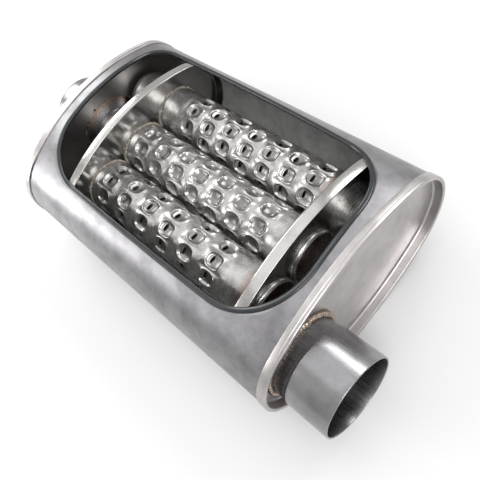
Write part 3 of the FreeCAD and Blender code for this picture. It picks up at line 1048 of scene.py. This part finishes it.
@dataclass
class LouvredTube:
    """Tube with rings of louvres, each turned on from the last, laid as tiles by Geometry Nodes and bent."""

    name: str
    y: float
    rear: float
    front: float
    first: float
    pitch: float
    rings: int
    phase: float
    turn: float
    slit_side: int
    radius: float = 28.5
    wall: float = 1.3
    count: int = 9
    bowl: float = 7.9
    dish: float = 9.8
    depth: float = 4.6
    slit_length: float = 8.6
    slit_width: float = 1.5
    slit_offset: float = 4.3
    stretch: float = 1.18
    drawn: float = 0.6
    lead_in: float = 3.0
    dent: float = 0.7
    rim: float = 1.1
    side_steps: int = 12
    end_steps: int = 8

    def sink(self, x: float, a: float) -> float:
        """Height of the pressed surface over the tube's surface.

        Args:
            x: Distance along the tube from the louvre's middle.
            a: Distance round the tube from the louvre's middle.

        Returns:
            Height in millimetres, negative in the bowl.
        """
        away = (abs(x / self.stretch) ** 2.5 + abs(a) ** 2.5) ** 0.4
        soft = min(1.0, max(0.0, (self.dish - away) / (self.dish - self.bowl + 1.4)))
        fade = min(1.0, max(0.0, self.dish - away))
        crest = math.exp(-(away - self.bowl - 0.4) ** 2)
        height = self.rim * fade * crest - self.dent * smooth_step(soft)
        if away < self.bowl:
            deep = (self.depth - 0.9) * (1 - (away / self.bowl) ** 2) ** 0.7
            behind = 1 / (1 + math.exp(-(self.slit_side * x - self.slit_offset) / 0.35))
            width = max(0.0, 1 - (abs(a) / (self.slit_length * 0.7)) ** 3)
            height -= deep * (1 - 0.45 * behind * width)
        return height

    def tile(self) -> Object:
        """Make a flat tile with one louvre, its slit left open.

        Returns:
            Its object, with how deep each point is sunk as an attribute.
        """
        half_x = self.pitch / 2
        half_a = math.pi * self.radius / self.count
        border = walk(((half_x, -half_a), (half_x, half_a), (-half_x, half_a), (-half_x, -half_a)),
                      (self.side_steps, self.end_steps) * 2)
        shares = (0.0, 0.18, 0.36, 0.5, 0.61, 0.7, 0.78, 0.86, 0.93, 1.0)
        points = []
        for share in shares:
            for x, a in border:
                angle = math.atan2(a / half_a, x / half_x)
                cos, sin = math.cos(angle), math.sin(angle)
                across = self.slit_width / 2 * math.copysign(abs(cos) ** 0.7, cos)
                slot = (self.slit_side * self.slit_offset + across,
                        self.slit_length / 2 * math.copysign(abs(sin) ** 0.9, sin))
                edge = (min(self.dish * self.stretch, half_x) * cos, min(self.dish, half_a * 0.985) * sin)
                px, pa = (start + (end - start) * share for start, end in zip(slot, edge))
                points.append((px, pa, self.sink(px, pa) - self.drawn))
        points += [(x, a, -self.drawn) for x, a in border]
        mesh = bpy.data.meshes.new("tile")
        mesh.from_pydata([tuple(c * MM for c in p) for p in points], [],
                         rows_of_faces(len(shares) + 1, len(border)))
        # how deep each point is sunk, which the tube's finish uses to paint shade into the bowls
        sunk = mesh.attributes.new("sunk", "FLOAT", "POINT")
        for place, point in zip(sunk.data, points):
            place.value = min(1.0, max(0.0, -point[2] - self.drawn - 0.6) / 2.4)
        return placed(self.name + "_tube", mesh)

    def tree(self, material: Material) -> NodeTree:
        """Build the node tree that lays the tiles in rings and bends them round.

        Args:
            material: The tube's finish.

        Returns:
            The tree.
        """
        group, given = node_group("louvre rings", {
            "Rings": "Int", "Count": "Int", "Turn": "Float", "First": "Float", "Pitch": "Float",
            "Radius": "Float", "Phase": "Float"})
        total = add(group, MATH, {0: given["Rings"], 1: given["Count"]}, operation="MULTIPLY")
        spots = add(group, "GeometryNodePoints", {"Count": total})
        index = add(group, "GeometryNodeInputIndex")
        share = add(group, MATH, {0: index, 1: given["Count"]}, operation="DIVIDE")
        ring = add(group, MATH, {0: share}, operation="FLOOR")
        number = add(group, MATH, {0: index, 1: given["Count"]}, operation="MODULO")
        start = add(group, MATH, {0: ring, 1: given["Turn"], 2: given["Phase"]}, operation="MULTIPLY_ADD")
        step = add(group, MATH, {0: TURN, 1: given["Count"]}, operation="DIVIDE")
        angle = add(group, MATH, {0: number, 1: step, 2: start}, operation="MULTIPLY_ADD")
        way = add(group, MATH, {0: angle, 1: given["Radius"]}, operation="MULTIPLY")
        x = add(group, MATH, {0: ring, 1: given["Pitch"], 2: given["First"]}, operation="MULTIPLY_ADD")
        spot = add(group, "ShaderNodeCombineXYZ", {0: x, 1: way})
        spread = add(group, "GeometryNodeSetPosition", {"Geometry": spots, "Position": spot})
        laid = add(group, "GeometryNodeInstanceOnPoints", {"Points": spread, "Instance": given["Geometry"]})
        real = add(group, "GeometryNodeRealizeInstances", {0: laid})
        here = add(group, "ShaderNodeSeparateXYZ", {0: add(group, "GeometryNodeInputPosition")})
        turn = add(group, MATH, {0: here.outputs[1], 1: given["Radius"]}, operation="DIVIDE")
        out = add(group, MATH, {0: here.outputs[2], 1: given["Radius"]}, operation="ADD")
        cosine = add(group, MATH, {0: turn}, operation="COSINE")
        sine = add(group, MATH, {0: turn}, operation="SINE")
        y = add(group, MATH, {0: out, 1: cosine}, operation="MULTIPLY")
        z = add(group, MATH, {0: out, 1: sine}, operation="MULTIPLY")
        bent = add(group, "ShaderNodeCombineXYZ", {0: here, 1: y, 2: z})
        wrapped = add(group, "GeometryNodeSetPosition", {"Geometry": real, "Position": bent})
        merged = add(group, "GeometryNodeMergeByDistance", {0: wrapped, "Distance": TILE_MERGE})
        done = add(group, "GeometryNodeSetMaterial", {0: merged, "Material": material})
        add(group, "NodeGroupOutput", {0: done})
        return group

    def build(self, material: Material) -> Object:
        """Lay the louvres, add the plain ends and give the tube its wall.

        Args:
            material: The tube's finish.

        Returns:
            The finished piece.
        """
        thing = grown(self.tile(), self.tree(material), {
            "Rings": self.rings, "Count": self.count, "First": self.first * MM, "Pitch": self.pitch * MM,
            "Radius": self.radius * MM, "Phase": math.radians(self.phase), "Turn": math.radians(self.turn)})
        mesh = thing.data
        bpy.data.objects.remove(thing)
        work = bmesh.new()
        work.from_mesh(mesh)
        start = self.first - self.pitch / 2
        stop = self.first + (self.rings - 0.5) * self.pitch
        around = self.count * self.side_steps
        for a, b, ring in ((self.rear, start, 0), (stop, self.front, self.rings - 1)):
            steps = max(1, round((b - a) / 6))
            lead = math.radians(self.phase + ring * self.turn) + math.pi / self.count
            stations = [(a + (b - a) * row / steps, self.radius) for row in range(steps + 1)]
            # the louvred length is drawn in a little, over a short cone
            if ring == 0:
                stations[-1:] = [(b - self.lead_in, self.radius), (b, self.radius - self.drawn)]
            else:
                stations[:1] = [(a, self.radius - self.drawn), (a + self.lead_in, self.radius)]
            angles = [lead + TURN * n / around for n in range(around)]
            rows = [[work.verts.new((x * MM, radius * MM * math.cos(angle), radius * MM * math.sin(angle)))
                     for angle in angles] for x, radius in stations]
            for lower, upper in zip(rows, rows[1:]):
                for n in range(around):
                    work.faces.new((lower[n - 1], lower[n], upper[n], upper[n - 1]))
        bmesh.ops.remove_doubles(work, verts=work.verts, dist=TILE_MERGE)
        bmesh.ops.translate(work, verts=work.verts, vec=Vector((0, self.y, AXIS)) * MM)
        bmesh.ops.recalc_face_normals(work, faces=work.faces)
        work.to_mesh(mesh)
        work.free()
        piece = dress(self.name + "_tube", mesh, material, 60.0)
        return finish(solid(piece, self.wall), self.name)


# Studio


@dataclass(frozen=True)
class Lamp:
    """Rectangular softbox, its places and sizes in metres and its power in watts."""

    name: str
    place: Point
    aim: Point
    size: Plan
    power: float

    def hang(self) -> None:
        """Add the lamp to the scene, facing what it aims at."""
        data = bpy.data.lights.new(self.name + " softbox", "AREA")
        data.shape = "RECTANGLE"
        data.size, data.size_y = self.size
        data.energy = self.power
        thing = placed(data.name, data)
        thing.location = self.place
        thing.rotation_euler = (Vector(self.aim) - Vector(self.place)).to_track_quat("-Z", "Y").to_euler()


LAMPS = (Lamp("overhead", (-0.5, 0.1, 1.6), (0, 0, 0.05), (1.6, 1.6), 6.0),
         Lamp("rear", (-1.5, 0.1, 1.0), (0, 0, 0.08), (1.0, 0.6), 9.5),
         Lamp("far", (0.1, 1.3, 1.2), (0, 0, 0.06), (1.2, 0.6), 12.5),
         Lamp("front", (0.9, -0.3, 1.2), (0.1, 0, 0.08), (0.8, 0.8), 12.0),
         Lamp("near", (-0.9, -1.1, 0.9), (0, 0, 0.08), (0.7, 0.7), 3.0),
         Lamp("low near", (-1.3, -0.9, 0.45), (-0.15, 0, 0.08), (0.6, 0.5), 8.0))


@dataclass
class Studio:
    """Pale floor, soft lamps and the camera."""

    focal: float = 560.653
    yaw: float = -0.276
    pitch: float = 0.996
    roll: float = -0.633
    slide: Plan = (27.971, -45.172)
    distance: float = 579.12
    sensor: float = 36.0
    picture: float = 480.0
    floor_reach: float = 4.0

    def floor(self) -> None:
        """Lay the white paper sweep that the part stands on."""
        material, tree = blank("white paper sweep")
        # the camera and mirrors see the paper a little brighter than it lights the part
        path = add(tree, "ShaderNodeLightPath").outputs
        seen = add(tree, MATH, {0: path["Is Camera Ray"], 1: path["Is Glossy Ray"]}, operation="MAXIMUM")
        glow = add(tree, MATH, {0: seen, 1: 0.02}, operation="MULTIPLY")
        feed(tree, tree.nodes[SHADER], {"Base Color": (0.61, 0.61, 0.61, 1.0), "Roughness": 0.35,
                                        "Emission Color": (1.0, 1.0, 1.0, 1.0),
                                        "Emission Strength": glow})
        mesh = bpy.data.meshes.new("floor")
        r = self.floor_reach
        mesh.from_pydata([(-r, -r, 0), (r, -r, 0), (r, r, 0), (-r, r, 0)], [], [(0, 1, 2, 3)])
        mesh.materials.append(material)
        placed("floor", mesh)

    def light(self) -> None:
        """Hang the lamps and set the world."""
        world = bpy.data.worlds.new("studio")
        bpy.context.scene.world = world
        world.use_nodes = True
        feed(world.node_tree, world.node_tree.nodes["Background"], {"Color": (1.0, 0.985, 0.98, 1.0),
                                                                    "Strength": 0.72})
        for lamp in LAMPS:
            lamp.hang()

    def camera(self) -> None:
        """Set the camera at the photograph's angle."""
        back = Vector((math.cos(self.pitch) * math.cos(self.yaw), math.cos(self.pitch) * math.sin(self.yaw),
                       math.sin(self.pitch)))
        right = Vector((-math.sin(self.yaw), math.cos(self.yaw), 0))
        up = back.cross(right)
        across = right * math.cos(self.roll) + up * math.sin(self.roll)
        rise = up * math.cos(self.roll) - right * math.sin(self.roll)
        place = across * self.slide[0] + rise * self.slide[1] + back * self.distance + Vector((0, 0, AXIS))
        data = bpy.data.cameras.new("camera")
        data.sensor_width = self.sensor
        data.lens = self.sensor * self.focal / self.picture
        data.clip_start = 0.01
        thing = placed("camera", data)
        turned = Matrix((across, rise, back)).transposed().to_4x4()
        thing.matrix_world = Matrix.Translation(place * MM) @ turned
        bpy.context.scene.camera = thing


def main() -> None:
    """Build the studio and every piece, in order."""
    logging.basicConfig(level=logging.INFO, format="%(name)s: %(message)s")
    bpy.context.scene.view_settings.view_transform = "Standard"
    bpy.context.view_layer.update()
    studio = Studio()
    studio.floor()
    studio.light()
    studio.camera()
    oval, window = Oval(), Window()
    shell_steel, inside_steel, cap_steel, baffle_steel, tube_steel, pipe_steel, weld_steel, pale_weld = (
        steel.make() for steel in (SHELL_STEEL, INSIDE_STEEL, CAP_STEEL, BAFFLE_STEEL, TUBE_STEEL, PIPE_STEEL,
                                   WELD_STEEL, PALE_WELD))
    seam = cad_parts["shell_seam_weld"]
    seam.data.materials.clear()
    seam.data.materials.append(shell_steel)
    Shell(oval, window).build(shell_steel, inside_steel)
    WindowTrim(oval, window).build(RUBBER.make())
    outlet, inlet, plate, pipe_radius, tube_radius = -70.6, 4.6, 178.0, 38.1, 28.5
    for end, y in ((End.OUTLET, outlet), (End.INLET, inlet)):
        EndCap(oval, end, (y, pipe_radius)).build(cap_steel)
    rows = (inlet - 57.4, inlet, inlet + 57.4)
    for name, back in (("rear_baffle", -118.5), ("front_baffle", 127.5)):
        Baffle(oval, name, back, rows).build(baffle_steel)
    Pipe(End.OUTLET, outlet, 150.8).build(pipe_steel)
    Pipe(End.INLET, inlet, 176.8, nose=26.6).build(pipe_steel)
    tubes = (
        LouvredTube("near_louvred_tube", rows[0], -126.5, 134.4, -95.0, 33.0, 6, 52.0, 50 / 3, -1),
        LouvredTube("middle_louvred_tube", rows[1], -169.3, 134.4, -95.0, 29.3, 7, 72.0, 20.0, 1),
        LouvredTube("far_louvred_tube", rows[2], -170.5, 170.0, -72.0, 28.0, 7, 52.0, 20.0, -1),
    )
    for tube in tubes:
        tube.build(tube_steel)
    beads = [WeldBead("outlet_pipe_weld", plate, outlet, pipe_radius, 3.2, 1, 3, 3.0),
             WeldBead("inlet_pipe_weld", -plate, inlet, pipe_radius, 3.2, -1, 5, 3.0)]
    for name, y in zip(("near", "middle", "far"), rows):
        beads.append(WeldBead(name + "_tube_rear_weld", -117.1, y, tube_radius, 1.7, 1, 11))
        beads.append(WeldBead(name + "_tube_front_weld", 127.5, y, tube_radius, 2.3, -1, 17))
    for bead in beads:
        bead.build(pale_weld if "rear" in bead.name else weld_steel)


if __name__ == "__main__":
    main()
